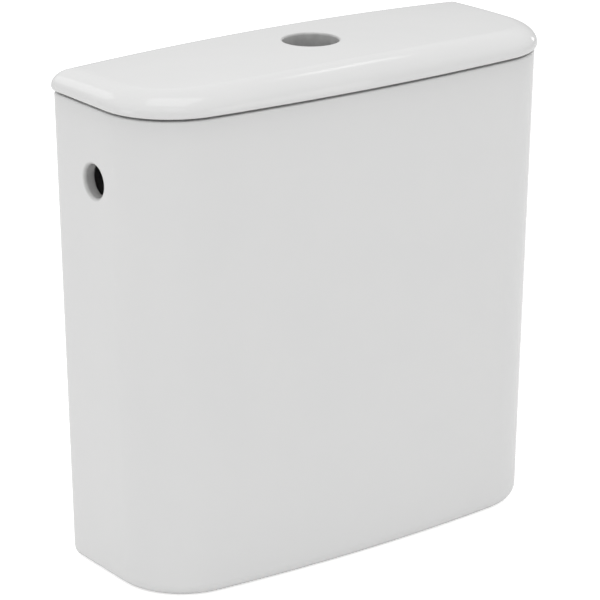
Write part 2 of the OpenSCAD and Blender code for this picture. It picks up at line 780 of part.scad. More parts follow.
module tower_bridge() {
    reach = leg_mid + leg_t / 2 + socket_wall;
    color("lightsteelblue")
        at_valve(bridge_z) difference() {
            union() {
                cylinder(d = bridge_d, h = bridge_t);
                translate([-bridge_arm_w / 2, -reach, 0]) cube([bridge_arm_w, 2 * reach, bridge_t]);
            }
            for (side = [-1, 1]) {
                translate([side * push_arm, side * rod_y, -over])
                    cylinder(r = rod_d / 2 + slide_gap, h = bridge_t + 2 * over);
                translate([-leg_w / 2 - fit_gap, side * leg_mid - leg_t / 2 - fit_gap, -over])
                    cube([leg_w + 2 * fit_gap, leg_t + 2 * fit_gap, leg_sink + over]);
            }
        }
}

module lever_pin() {
    color("silver")
        at_valve(pivot_z) rotate([90, 0, 0])
            cylinder(d = lever_pin_d, h = leg_spacing + 2 * leg_t, center = true);
}

// Rocking lever: side is +1 where the push arm points to +x, and its lane lies on the same side in y
module flush_lever(side) {
    end_r = lever_t / 2;
    at_valve(pivot_z) translate([0, side * lever_mid, 0]) rotate([90, 0, 0]) difference() {
        union() {
            cylinder(d = lever_hub_d, h = lever_w, center = true);
            translate([side * (push_arm - lift_arm + 2 * end_r) / 2, 0, 0])
                cube([push_arm + lift_arm, lever_t, lever_w], center = true);
            translate([side * (push_arm + end_r), 0, 0]) cylinder(r = end_r, h = lever_w, center = true);
            translate([side * (end_r - lift_arm), 0, 0]) cylinder(r = end_r, h = lever_w, center = true);
        }
        cylinder(r = lever_pin_d / 2 + turn_gap, h = lever_w + 2 * over, center = true);
    }
}

module full_flush_lever() {
    color("royalblue") flush_lever(1);
}

module half_flush_lever() {
    color("skyblue") flush_lever(-1);
}

// Hook that a lever's lifting end carries: an arm from radius r at height z, an upright and the hook itself
module lifting_hook(side, r, z) {
    low_y = -side * lever_mid - hook_w / 2;
    mirror([side > 0 ? 0 : 1, 0, 0]) {
        translate([r, low_y, z]) cube([upright_out - r, hook_w, hook_arm_h]);
        translate([upright_in, low_y, z]) cube([upright_t, hook_w, hook_z + hook_t - z]);
        translate([lift_arm - hook_reach, low_y, hook_z])
            cube([upright_out - lift_arm + hook_reach, hook_w, hook_t]);
    }
}

module overflow_tube() {
    low = seat_z - tube_below_seat;
    ring_h = 2 * hook_arm_h;
    bore_r = tube_r - tube_t;
    color("whitesmoke")
        at_valve(0) difference() {
            union() {
                translate([0, 0, low]) cylinder(r = tube_r, h = overflow_z - low);
                translate([0, 0, seal_top]) cylinder(d = foot_d, h = foot_t);
                for (i = [0 : foot_fins - 1]) rotate([90, 0, 360 * i / foot_fins])
                    linear_extrude(tube_t, center = true) polygon([
                        [tube_r - tube_t / 2, foot_top - over], [foot_d / 2 - over, foot_top - over],
                        [foot_d / 2 - over, foot_top], [tube_r - tube_t / 2, foot_top + foot_fin_h]
                    ]);
                translate([0, 0, overflow_z - ring_h]) cylinder(r = sleeve_r, h = ring_h);
                lifting_hook(-1, tube_r - tube_t / 2, overflow_z - ring_h);
            }
            translate([0, 0, low - over]) cylinder(r = bore_r, h = overflow_z - low + 2 * over);
            for (a = [45, 135]) rotate([0, 0, a])
                translate([-tube_d, -half_window_w / 2, half_window_z])
                    cube([2 * tube_d, half_window_w, half_window_h]);
        }
}

module flush_seal() {
    color("firebrick") at_valve(seat_z) washer(seal_d / 2, tube_r + fit_gap, seal_t);
}

module seal_retainer() {
    color("white") at_valve(seat_z - retainer_t) washer(retainer_r, tube_r + fit_gap, retainer_t);
}

module half_flush_sleeve() {
    groove_r = tube_r + fit_gap + oring_d + fit_gap;
    groove_h = oring_d + 2 * fit_gap;
    inner_r = tube_r + slide_gap;
    arm_z = sleeve_z + sleeve_h - hook_arm_h;
    color("lightskyblue")
        at_valve(0) difference() {
            union() {
                translate([0, 0, sleeve_z]) cylinder(r = sleeve_r, h = sleeve_h);
                lifting_hook(1, inner_r + sleeve_t / 2, arm_z);
            }
            translate([0, 0, sleeve_z - over]) cylinder(r = inner_r, h = sleeve_h + 2 * over);
            for (z = sleeve_ring_z) translate([0, 0, z - groove_h / 2]) cylinder(r = groove_r, h = groove_h);
        }
}

module sleeve_seals() {
    color("#202020")
        for (z = sleeve_ring_z) at_valve(z)
            rotate_extrude() translate([tube_r + fit_gap + oring_d / 2, 0]) circle(d = oring_d);
}

module button_housing() {
    color("lightgray")
        at_valve(housing_z) difference() {
            cylinder(r = housing_r, h = housing_h);
            translate([0, 0, housing_floor_t]) cylinder(r = housing_r - housing_wall, h = housing_h);
            for (side = [-1, 1]) translate([side * push_arm, side * rod_y, -over])
                cylinder(r = rod_d / 2 + slide_gap, h = housing_floor_t + 2 * over);
        }
}

module button_collar() {
    color("#2c2e30")
        at_valve(housing_top) difference() {
            washer(housing_r, housing_r - housing_wall, collar_h);
            translate([0, 0, collar_h]) edge_cutter(housing_r - housing_wall, housing_wall / 2);
        }
}

// Button on one side of the split: a hollow cap with its rod's seat in its roof
module flush_button(side) {
    split = side * button_gap / 2 - button_split;
    at_valve(button_top - button_h) difference() {
        cylinder(r = button_r, h = button_h);
        translate([side > 0 ? split - 2 * button_r : split, -button_r, -over])
            cube([2 * button_r, 2 * button_r, button_h + 2 * over]);
        translate([0, 0, -over]) difference() {
            cylinder(r = button_r - button_wall, h = button_h - button_top_t + over);
            translate([side > 0 ? split + button_wall - 2 * button_r : split - button_wall, -button_r, -over])
                cube([2 * button_r, 2 * button_r, button_h + 2 * over]);
        }
    }
}

module full_flush_button() {
    color("#2c2e30") flush_button(1);
}

module half_flush_button() {
    color("#2c2e30") flush_button(-1);
}

module push_rod(side) {
    tip_r = rod_d / 2;
    translate([side * push_arm, side * rod_y, 0]) at_valve(rod_tip_z + tip_r) {
        cylinder(r = tip_r, h = button_roof - rod_tip_z - tip_r);
        sphere(r = tip_r);
    }
}

module full_push_rod() {
    color("royalblue") push_rod(1);
}

module half_push_rod() {
    color("skyblue") push_rod(-1);
}

// Helix of a button spring: its ends stay clear of the housing's floor and the button's roof
spring_rings = 8;
spring_sides = 6;
spring_room = button_roof - spring_z - wire_d - 2 * fit_gap;
spring_pitch = spring_room / spring_curls;
function spring_point(i) =
    let (a = 360 * i / spring_rings)
    [spring_d / 2 * cos(a), spring_d / 2 * sin(a), spring_pitch * i / spring_rings];
spring_end = spring_curls * spring_rings;
spring_path = [for (i = [0 : spring_end]) spring_point(i)];
spring_gaps = [for (i = [0 : spring_end - spring_rings], j = [i + spring_rings / 2 : spring_end])
    norm(spring_path[j] - spring_path[i]) - wire_d];
echo(least_spring_gap = min(spring_gaps));
function wire_ring(i) =
    let (
        p = spring_path[i],
        out = [p[0], p[1], 0] / norm([p[0], p[1], 0])
    )
    [for (k = [0 : spring_sides - 1]) let (a = 360 * k / spring_sides)
        p + wire_d / 2 * (cos(a) * out + [0, 0, sin(a)])];

module button_spring(side) {
    translate([side * push_arm, side * rod_y, 0]) at_valve(spring_z + wire_d / 2 + fit_gap)
        loft([for (i = [0 : spring_end]) wire_ring(i)]);
}

module full_button_spring() {
    color("silver") button_spring(1);
}

module half_button_spring() {
    color("silver") button_spring(-1);
}

// A bolt is drawn at its thread's root in the nut, and at its crest where the thread is free
module tie_bolts() {
    low = skirt_h - bolt_reach;
    color("goldenrod") {
        at_bolts(bolt_head_z) hexagon(bolt_flats, bolt_head_h);
        at_bolts(low) cylinder(r = bolt_root_r, h = bolt_head_z - low + over);
        at_bolts(low) cylinder(d = bolt_d, h = bolt_nut_z - thread_relief - low);
    }
}

module tie_bolt_seals() {
    color("#202020") at_bolts(floor_z) washer(bolt_seal_d / 2, bolt_root_r + fit_gap, bolt_seal_t);
}

module tie_bolt_washers() {
    color("silver")
        for (z = [floor_z + bolt_seal_t, skirt_h - bolt_washer_t])
            at_bolts(z) washer(bolt_washer_d / 2, bolt_d / 2 + fit_gap, bolt_washer_t);
}

module tie_bolt_nuts() {
    color("goldenrod")
        at_bolts(bolt_nut_z) difference() {
            hexagon(bolt_flats, bolt_nut_h);
            translate([0, 0, -over]) cylinder(r = bolt_root_r + fit_gap, h = bolt_nut_h + 2 * over);
        }
}

// The shank is drawn at its thread's root in the nut, and at its crest where the thread is free
module inlet_body() {
    stub_bore_r = stub_d / 2 - discharge_t;
    free_x = nut_end + thread_relief;
    color("whitesmoke")
        difference() {
            union() {
                at_inlet(flange_x) cylinder(r = inlet_root_r, h = free_x - flange_x);
                at_inlet(free_x) cylinder(d = inlet_thread_d, h = thread_end - free_x);
                at_inlet(flange_x) cylinder(d = inlet_flange_d, h = inlet_flange_t);
                at_inlet(chamber_face + chamber_room) cylinder(d = neck_d, h = flange_x - chamber_face);
                at_inlet(chamber_face) cylinder(d = chamber_d, h = chamber_len);
                translate([stub_x, -inlet_y, stub_z]) cylinder(d = stub_d, h = inlet_z - stub_z);
            }
            at_inlet(chamber_face) cylinder(d = waterway_d, h = thread_end - chamber_face + over);
            at_inlet(chamber_face - over) cylinder(r = chamber_d / 2 - 2 * cap_wall, h = chamber_room + over);
            translate([stub_x, -inlet_y, stub_z - over])
                cylinder(r = stub_bore_r, h = inlet_z - stub_z + over);
        }
}

module inlet_filter() {
    filter_r = waterway_d / 2 - fit_gap;
    mesh_r = filter_r - filter_wall;
    slot_low = 2 * filter_rim_t;
    color("lightgray")
        at_inlet(thread_end - filter_len) difference() {
            union() {
                cylinder(r = mesh_r, h = filter_len);
                translate([0, 0, filter_len - filter_rim_t]) cylinder(r = filter_r, h = filter_rim_t);
            }
            translate([0, 0, filter_rim_t]) cylinder(r = mesh_r - filter_wall, h = filter_len);
            for (a = [0 : 45 : 135]) rotate([0, 0, a])
                translate([-filter_r, -filter_slot_w / 2, slot_low])
                    cube([2 * filter_r, filter_slot_w, filter_len - 2 * slot_low]);
        }
}

module inlet_washer() {
    color("#202020")
        at_inlet(land_x - inlet_washer_t)
            washer(inlet_flange_d / 2, inlet_thread_d / 2, inlet_washer_t);
}

module inlet_backnut() {
    color("white")
        at_inlet(nut_x) difference() {
            rotate([0, 0, 30]) hexagon(inlet_nut_flats, inlet_nut_h);
            translate([0, 0, -over]) cylinder(r = inlet_root_r + fit_gap, h = inlet_nut_h + 2 * over);
        }
}

module diaphragm() {
    color("#303030") at_inlet(cap_shoulder) cylinder(r = chamber_d / 2 - fit_gap, h = diaphragm_t);
}

module head_cap() {
    bore_r = chamber_d / 2 + fit_gap;
    space_r = chamber_d / 2 - 2 * fit_gap - cap_wall;
    pilot_r = float_pin_d / 2;
    ear_mid = (ear_gap + ear_t) / 2;
    ear_r = float_pin_d;
    color("royalblue")
        difference() {
            union() {
                at_inlet(cap_face) cylinder(r = cap_r, h = chamber_face + cap_over - cap_face);
                for (side = [-1, 1]) translate([0, -inlet_y + side * ear_mid, float_pin_z]) {
                    translate([float_pin_x, -ear_t / 2, -ear_r])
                        cube([float_pin_out + over, ear_t, 2 * ear_r]);
                    translate([float_pin_x, 0, 0]) rotate([90, 0, 0])
                        cylinder(r = ear_r, h = ear_t, center = true);
                }
            }
            at_inlet(cap_shoulder) cylinder(r = bore_r, h = diaphragm_t + cap_over + over);
            at_inlet(cap_shoulder - cap_space) cylinder(r = space_r, h = cap_space + over);
            at_inlet(cap_face - over) cylinder(r = pilot_r, h = cap_face_t + 2 * over);
            translate([float_pin_x, -inlet_y, float_pin_z]) rotate([90, 0, 0])
                cylinder(r = float_pin_d / 2 + turn_gap, h = 2 * ear_gap, center = true);
        }
}

module float_lever_pin() {
    color("silver")
        translate([float_pin_x, -inlet_y, float_pin_z]) rotate([90, 0, 0])
            cylinder(d = float_pin_d, h = ear_gap + 4 * ear_t, center = true);
}

// Drawn level about its pin, then turned down by the droop: hub, post, cross bar, arm and slotted end
module float_lever() {
    hub_w = ear_gap - 2 * touch_gap;
    hub_r = float_pin_d;
    post = 2 * hub_r;
    bar_z = arm_up - arm_t / 2;
    slot_w = float_rod_d + 2 * touch_gap;
    slot_len = 2 * ((arm_up + arm_t / 2) * tan(float_droop) + touch_gap) + slot_w;
    pad = [slot_len + 2 * arm_t, slot_w + 2 * arm_t];
    color("steelblue")
        translate([float_pin_x, -inlet_y, float_pin_z]) rotate([0, float_droop, 0]) difference() {
            union() {
                rotate([90, 0, 0]) cylinder(r = hub_r, h = hub_w, center = true);
                translate([-hub_r, -hub_w / 2, 0]) cube([post, hub_w, arm_up + arm_t / 2]);
                translate([-hub_r, -float_rod_front - arm_w / 2, bar_z])
                    cube([post, float_rod_front + (arm_w + hub_w) / 2, arm_t]);
                translate([-hub_r, -float_rod_front - arm_w / 2, bar_z])
                    cube([arm_len + hub_r, arm_w, arm_t]);
                translate([arm_len - pad[0] / 2, -float_rod_front - pad[1] / 2, bar_z])
                    cube([pad[0], pad[1], arm_t]);
            }
            rotate([90, 0, 0]) cylinder(r = float_pin_d / 2 + turn_gap, h = hub_w + 2 * over, center = true);
            translate([arm_len - slot_len / 2, -float_rod_front - slot_w / 2, bar_z - over])
                cube([slot_len, slot_w, arm_t + 2 * over]);
        }
}

module float_cup() {
    sleeve_in = discharge_r + slide_gap;
    sleeve_out = sleeve_in + float_wall;
    mid = [stub_x, -inlet_y - float_d / 2 + sleeve_out + float_lip];
    inner = [float_w - 2 * float_wall, float_d - 2 * float_wall];
    color("white")
        difference() {
            translate([mid[0], mid[1], float_z]) linear_extrude(float_h)
                polygon(rounded(float_w, float_d, float_corner_r));
            difference() {
                translate([mid[0], mid[1], float_z - over]) linear_extrude(float_h - float_wall + over)
                    polygon(rounded(inner[0], inner[1], float_corner_r - float_wall));
                translate([stub_x, -inlet_y, float_z - over]) cylinder(r = sleeve_out, h = float_h + over);
                translate([float_rod_x, float_rod_y, float_z - over])
                    cylinder(r = float_rod_d, h = float_h + over);
            }
            translate([stub_x, -inlet_y, float_z - over]) cylinder(r = sleeve_in, h = float_h + 2 * over);
            translate([float_rod_x, float_rod_y, float_z + float_h / 2])
                cylinder(r = float_rod_d / 2 + fit_gap, h = float_h);
        }
}

module float_rod() {
    low = float_z + float_h / 2;
    top = slot_z + rod_collar_gap + 2 * rod_collar_t;
    color("silver")
        translate([float_rod_x, float_rod_y, 0]) {
            translate([0, 0, low]) cylinder(d = float_rod_d, h = top - low);
            for (z = [slot_z + rod_collar_gap, slot_z - rod_collar_gap - rod_collar_t])
                translate([0, 0, z]) cylinder(r = rod_collar_r, h = rod_collar_t);
        }
}

module float_adjuster() {
    color("royalblue")
        translate([float_rod_x, float_rod_y, float_top_z]) difference() {
            cylinder(d = adjuster_d, h = adjuster_h);
            translate([0, 0, -over]) cylinder(r = float_rod_d / 2 + fit_gap, h = adjuster_h + 2 * over);
            for (i = [0 : adjuster_knurls - 1]) rotate([0, 0, 360 * i / adjuster_knurls])
                translate([adjuster_d / 2, 0, -over]) cylinder(r = knurl_r, h = adjuster_h + 2 * over);
        }
}

module discharge_tube() {
    low = floor_z + discharge_gap;
    stop_h = arm_t;
    color("whitesmoke")
        translate([stub_x, -inlet_y, 0]) difference() {
            union() {
                translate([0, 0, low]) cylinder(r = discharge_r, h = discharge_top - low);
                translate([0, 0, float_z - stop_h]) cylinder(r = discharge_r + 2 * discharge_t, h = stop_h);
            }
            translate([0, 0, low - over])
                cylinder(r = discharge_r - discharge_t, h = discharge_top - low + 2 * over);
        }
}

tank();
lid();
lid_buffers();
valve_base();
base_washer();
valve_backnut();
coupling_gasket();
valve_cage();
tower_legs();
tower_bridge();
lever_pin();
full_flush_lever();
half_flush_lever();
overflow_tube();
flush_seal();
seal_retainer();
half_flush_sleeve();
sleeve_seals();
button_housing();
button_collar();
full_flush_button();
half_flush_button();
full_push_rod();
half_push_rod();
full_button_spring();
half_button_spring();
tie_bolts();
tie_bolt_seals();
tie_bolt_washers();
tie_bolt_nuts();
inlet_body();
inlet_filter();
inlet_washer();
inlet_backnut();
diaphragm();
head_cap();
float_lever_pin();
float_lever();
float_cup();
float_rod();
float_adjuster();
discharge_tube();
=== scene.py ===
"""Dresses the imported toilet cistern: glazed ceramic, fittings, a white studio and the camera."""

import json
import math

import bmesh
import bpy
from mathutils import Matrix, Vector


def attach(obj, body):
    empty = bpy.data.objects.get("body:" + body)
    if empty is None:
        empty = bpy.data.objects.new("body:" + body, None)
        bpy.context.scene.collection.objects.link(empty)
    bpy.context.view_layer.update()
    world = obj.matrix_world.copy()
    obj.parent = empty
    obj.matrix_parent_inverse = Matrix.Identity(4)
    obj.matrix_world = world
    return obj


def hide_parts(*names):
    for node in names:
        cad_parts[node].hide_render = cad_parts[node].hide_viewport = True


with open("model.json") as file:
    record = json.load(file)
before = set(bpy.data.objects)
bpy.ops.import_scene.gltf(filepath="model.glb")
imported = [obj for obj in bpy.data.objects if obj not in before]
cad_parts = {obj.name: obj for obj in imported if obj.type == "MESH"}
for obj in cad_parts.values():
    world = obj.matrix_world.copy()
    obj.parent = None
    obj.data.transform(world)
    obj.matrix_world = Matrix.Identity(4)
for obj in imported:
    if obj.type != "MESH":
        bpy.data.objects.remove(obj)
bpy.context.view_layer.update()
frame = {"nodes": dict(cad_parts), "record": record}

# Sizes of the tank, in metres
TANK_HALF_WIDTH = 0.1825
TANK_DEPTH = 0.138
TANK_HEIGHT = 0.354
FRONT_BULGE = 0.0114
FRONT_CORNER = 0.055
BACK_CORNER = 0.015
LEAST_CORNER = 0.002
SIDE_TAPER = 0.0062
FRONT_TAPER = 0.0041
BASE_EDGE = 0.0093
RIM_EDGE = 0.0012
WALL = 0.0095
SKIRT_WALL = 0.014
SKIRT_HEIGHT = 0.058
FLOOR_HEIGHT = 0.069
FLOOR_FILLET = 0.005

# Sizes of the lid, in metres
LID_LOW = TANK_HEIGHT + 0.0016
LID_OVERHANG = 0.0019
LID_BACK_IN = 0.0005
LID_CORNER = 0.013
LID_WIDE = LID_LOW + 0.0033
LID_ROUND_HEIGHT = 0.0177
LID_ROUND_WIDTH = 0.018
LID_TOP = LID_WIDE + LID_ROUND_HEIGHT
LID_UNDER = LID_TOP - 0.0135
LID_CROWN = 0.0052
LID_BOW = 0.0015
RIB_IN = WALL + 0.0025
RIB_WIDTH = 0.006
RIB_HEIGHT = 0.010
RIB_ROUND = 0.002
RIB_FILLET = 0.003

# Openings: radius, rounding of the edge and place
VALVE_Y = -0.0644
BUTTON_HOLE = 0.0202
BUTTON_HOLE_EDGE = 0.0019
BUTTON_HOLE_LOW_EDGE = 0.001
SIDE_HOLE = 0.012
SIDE_HOLE_EDGE = 0.0025
SIDE_HOLE_Y = -0.058
SIDE_HOLE_Z = 0.301
LAND = 0.019
LAND_X = 0.173304
OUTLET_HOLE = 0.0315
BOLT_HOLE = 0.0055
BOLT_X = 0.075
SCREW_HOLE = 0.004
SCREW_X = 0.100
SCREW_Z = 0.322
SMALL_EDGE = 0.0006

# Steps of the ceramic's meshes
FRONT_STEPS = 44
CORNER_STEPS = 26
SIDE_STEPS = 22
BACK_CORNER_STEPS = 9
BACK_STEPS = 44
EDGE_STEPS = 8
BASE_STEPS = 24
WALL_STEPS = 84
FLOOR_STEPS = 26
TOP_STEPS = 36
ROUND_STEPS = 22
SHARP_ANGLE = math.radians(50)
MERGE_DISTANCE = 1e-7
OUTER_APRON = (0.35, 0.7)
INNER_APRON = (0.3, 0.65)


def half_width(z):
    return TANK_HALF_WIDTH - SIDE_TAPER * max(0.0, 1 - z / TANK_HEIGHT)


def crown(p):
    """How far the lid's top has fallen at a point: crowned across the width, bowed from front to back."""
    return LID_CROWN * (p.x / TANK_HALF_WIDTH) ** 2 + LID_BOW * (2 * p.y / TANK_DEPTH + 1) ** 2


def quarter(steps):
    """Angles from 0 to 90 degrees."""
    return [math.pi / 2 * i / steps for i in range(steps + 1)]


def shares(steps):
    return [i / steps for i in range(steps + 1)]


def half_outline(half, depth, corner, back_corner):
    """Right half of a plan, from the middle of the front round to the middle of the back."""
    centre_x = half - corner
    lean = math.atan(2 * FRONT_BULGE * centre_x / half ** 2)
    touch_x = centre_x + corner * math.sin(lean)
    centre_y = FRONT_BULGE * (touch_x / half) ** 2 - depth + corner * math.cos(lean)
    points = []
    for t in shares(FRONT_STEPS)[:-1]:
        x = touch_x * t
        points.append((x, FRONT_BULGE * (x / half) ** 2 - depth))
    for t in shares(CORNER_STEPS)[:-1]:
        a = (lean - math.pi / 2) * (1 - t)
        points.append((centre_x + corner * math.cos(a), centre_y + corner * math.sin(a)))
    for t in shares(SIDE_STEPS)[:-1]:
        points.append((half, centre_y + t * (-back_corner - centre_y)))
    for a in quarter(BACK_CORNER_STEPS)[:-1]:
        points.append((half - back_corner * (1 - math.cos(a)), back_corner * (math.sin(a) - 1)))
    for t in shares(BACK_STEPS):
        points.append(((half - back_corner) * (1 - t), 0.0))
    return points


def ring(z, inset, back_in, corner_at_back=BACK_CORNER):
    """Closed ring at height z: the tank's plan there, drawn in by inset, with its back line at -back_in."""
    depth = TANK_DEPTH - FRONT_TAPER * max(0.0, 1 - z / TANK_HEIGHT) - inset - back_in
    corner = max(FRONT_CORNER - inset, LEAST_CORNER)
    back_corner = max(corner_at_back - inset, LEAST_CORNER)
    right = half_outline(half_width(z) - inset, depth, corner, back_corner)
    left = [(-x, y) for x, y in right[-2:0:-1]]
    return [Vector((x, y - back_in, z)) for x, y in right + left]


def tank_ring(z, inset):
    return ring(z, inset, inset)


def base_back(z):
    """How far the back draws in at height z: it stays flat almost down to the base."""
    if z >= RIM_EDGE:
        return 0.0
    return RIM_EDGE - math.sqrt(RIM_EDGE ** 2 - (RIM_EDGE - z) ** 2)


def base_ring(a):
    """Ring on the rounded edge of the base, a quarter turn from the wall to the foot."""
    z = BASE_EDGE * (1 - math.sin(a))
    return ring(z, BASE_EDGE * (1 - math.cos(a)), base_back(z))


def circle_towards(points, centre, radius, z):
    """Ring round an upright axis, with one point in the direction of each given point."""
    result = []
    for p in points:
        away = Vector((p.x - centre[0], p.y - centre[1], 0)).normalized()
        result.append(Vector((centre[0], centre[1], z)) + radius * away)
    return result


def between(start, end, share):
    return [a.lerp(b, share) for a, b in zip(start, end)]


class Lattice:
    """Closed surface of rows with equally many points, joined into a ring of rows, with windows cut in it."""

    def __init__(self):
        self.points = []
        self.faces = []
        self.rows = []
        self.open_cells = set()

    def add_loop(self, points):
        first = len(self.points)
        self.points.extend(points)
        return list(range(first, len(self.points)))

    def add_rows(self, rings):
        """Adds rows and returns the numbers that they got."""
        first = len(self.rows)
        self.rows.extend(self.add_loop(r) for r in rings)
        return list(range(first, len(self.rows)))

    def bridge(self, a, b):
        n = len(a)
        for i in range(n):
            k = (i + 1) % n
            self.faces.append((a[i], a[k], b[k], b[i]))

    def find_block(self, rows, centre, reach, flat):
        """Least block of cells round the points within reach of a centre, as places in rows and columns."""
        places = []
        for k, row in enumerate(rows):
            for i, v in enumerate(self.rows[row]):
                if (flat(self.points[v]) - centre).length < reach:
                    places.append((k, i))
        ks = [k for k, i in places]
        columns = [i for k, i in places]
        return min(ks) - 1, max(ks) + 1, min(columns) - 1, max(columns) + 1

    def cut_window(self, rows, block):
        """Opens a block of cells and returns the loop of points round it."""
        low, high, left, right = block
        for k in range(low, high):
            first = min(rows[k], rows[k + 1])
            self.open_cells.update((first, i) for i in range(left, right))
        loop = [(low, i) for i in range(left, right)]
        loop += [(k, right) for k in range(low, high)]
        loop += [(high, i) for i in range(right, left, -1)]
        loop += [(k, left) for k in range(high, low, -1)]
        return [self.rows[rows[k]][i] for k, i in loop]

    def bore(self, outer_rows, inner_rows, centre, reach, flat, make_rings):
        """Cuts a hole through two skins, whose rows lie level with each other, and lines it with rings."""
        block = self.find_block(outer_rows, centre, reach, flat)
        outer = self.cut_window(outer_rows, block)
        inner = self.cut_window(inner_rows, block)
        angles = []
        for v in outer:
            away = flat(self.points[v]) - centre
            angles.append(math.atan2(away.y, away.x))
        rings = make_rings(angles)
        outer_points = [self.points[v] for v in outer]
        inner_points = [self.points[v] for v in inner]
        loops = [outer]
        for s in OUTER_APRON:
            loops.append(self.add_loop(between(outer_points, rings[0], s)))
        loops += [self.add_loop(r) for r in rings]
        for s in INNER_APRON:
            loops.append(self.add_loop(between(rings[-1], inner_points, s)))
        loops.append(inner)
        for a, b in zip(loops, loops[1:]):
            self.bridge(a, b)

    def build(self, name):
        count = len(self.rows)
        for j in range(count):
            a, b = self.rows[j], self.rows[(j + 1) % count]
            n = len(a)
            for i in range(n):
                if (j, i) not in self.open_cells:
                    k = (i + 1) % n
                    self.faces.append((a[i], a[k], b[k], b[i]))
        return make_object(name, self.points, self.faces)


def make_object(name, points, faces, sharp=SHARP_ANGLE):
    """Smooth-shaded mesh object with its faces turned outwards."""
    mesh = bpy.data.meshes.new(name)
    mesh.from_pydata(points, [], faces)
    work = bmesh.new()
    work.from_mesh(mesh)
    bmesh.ops.remove_doubles(work, verts=work.verts, dist=MERGE_DISTANCE)
    bmesh.ops.recalc_face_normals(work, faces=work.faces)
    work.to_mesh(mesh)
    work.free()
    mesh.polygons.foreach_set("use_smooth", [True] * len(mesh.polygons))
    mesh.set_sharp_from_angle(angle=sharp)
    piece = bpy.data.objects.new(name, mesh)
    bpy.context.scene.collection.objects.link(piece)
    return piece


# Camera, fitted to the outline in the photo: the lens shift puts the target in its place in the picture
IMAGE_SIZE = 600
FOCAL_PIXELS = 2913
SENSOR = 36
CAMERA_AZIMUTH = math.radians(-36.37)
CAMERA_ELEVATION = math.radians(19.18)
CAMERA_DISTANCE = 2.145
TARGET = Vector((0, -0.0691, 0.1776))
TARGET_PIXEL = (314.6, 303.5)

camera_data = bpy.data.cameras.new("camera")
camera = bpy.data.objects.new("camera", camera_data)
bpy.context.scene.collection.objects.link(camera)
bpy.context.scene.camera = camera
camera_data.sensor_width = SENSOR
camera_data.lens = FOCAL_PIXELS / IMAGE_SIZE * SENSOR
camera_data.shift_x = 0.5 - TARGET_PIXEL[0] / IMAGE_SIZE
camera_data.shift_y = TARGET_PIXEL[1] / IMAGE_SIZE - 0.5
towards_camera = Vector((
    math.sin(CAMERA_AZIMUTH) * math.cos(CAMERA_ELEVATION),
    -math.cos(CAMERA_AZIMUTH) * math.cos(CAMERA_ELEVATION),
    math.sin(CAMERA_ELEVATION),
))
camera.location = TARGET + towards_camera * CAMERA_DISTANCE
camera.rotation_euler = (-towards_camera).to_track_quat("-Z", "Y").to_euler()


class Shader:
    """A material's node tree round one Principled shader, whose plain sockets are given by name."""

    def __init__(self, name, **sockets):
        self.material = bpy.data.materials.new(name)
        self.material.use_nodes = True
        self.nodes = self.material.node_tree.nodes
        self.links = self.material.node_tree.links
        self.surface = self.nodes["Principled BSDF"]
        self.place = self.nodes.new("ShaderNodeTexCoord").outputs["Object"]
        for socket, value in sockets.items():
            self.surface.inputs[socket.replace("_", " ")].default_value = value

    def noise(self, scale, detail=2.0, stretch=None):
        """Noise over the object's own coordinates, stretched along axes where asked."""
        node = self.nodes.new("ShaderNodeTexNoise")
        node.inputs["Scale"].default_value = scale
        node.inputs["Detail"].default_value = detail
        source = self.place
        if stretch:
            mapping = self.nodes.new("ShaderNodeMapping")
            mapping.inputs["Scale"].default_value = stretch
            self.links.new(source, mapping.inputs["Vector"])
            source = mapping.outputs["Vector"]
        self.links.new(source, node.inputs["Vector"])
        return node.outputs["Fac"]

    def ramp(self, source, stops):
        """Colour ramp from pairs of position and colour or grey value."""
        node = self.nodes.new("ShaderNodeValToRGB")
        ramp = node.color_ramp
        while len(ramp.elements) < len(stops):
            ramp.elements.new(1.0)
        for element, (position, value) in zip(ramp.elements, stops):
            element.position = position
            element.color = (*value, 1) if isinstance(value, tuple) else (value, value, value, 1)
        self.links.new(source, node.inputs["Fac"])
        return node.outputs["Color"]

    def mix(self, share, first, second):
        """Mix of two colour outputs by a third output."""
        node = self.nodes.new("ShaderNodeMix")
        node.data_type = "RGBA"
        self.links.new(share, node.inputs["Factor"])
        self.links.new(first, node.inputs["A"])
        self.links.new(second, node.inputs["B"])
        return node.outputs["Result"]

    def height(self):
        """Height above the base in the object's own coordinates."""
        node = self.nodes.new("ShaderNodeSeparateXYZ")
        self.links.new(self.place, node.inputs["Vector"])
        return node.outputs["Z"]

    def within(self, source, low, high):
        """0 below low and 1 above high, for an output that runs in metres."""
        node = self.nodes.new("ShaderNodeMapRange")
        node.inputs["From Min"].default_value = low
        node.inputs["From Max"].default_value = high
        self.links.new(source, node.inputs["Value"])
        return node.outputs["Result"]

    def near_axis(self, point, across, inner, outer):
        """1 within the inner radius of an axis and 0 past the outer one.

        The axis runs through a point, and across is 0 along it and 1 in the other two directions.
        """
        offset = self.nodes.new("ShaderNodeVectorMath")
        offset.operation = "SUBTRACT"
        offset.inputs[1].default_value = point
        self.links.new(self.place, offset.inputs[0])
        flat = self.nodes.new("ShaderNodeVectorMath")
        flat.operation = "MULTIPLY"
        flat.inputs[1].default_value = across
        self.links.new(offset.outputs["Vector"], flat.inputs[0])
        distance = self.nodes.new("ShaderNodeVectorMath")
        distance.operation = "LENGTH"
        self.links.new(flat.outputs["Vector"], distance.inputs[0])
        return self.within(distance.outputs["Value"], outer, inner)

    def use(self, socket, source):
        self.links.new(source, self.surface.inputs[socket])

    def bump(self, source, distance, strength=1.0):
        node = self.nodes.new("ShaderNodeBump")
        node.inputs["Distance"].default_value = distance
        node.inputs["Strength"].default_value = strength
        self.links.new(source, node.inputs["Height"])
        self.links.new(node.outputs["Normal"], self.surface.inputs["Normal"])


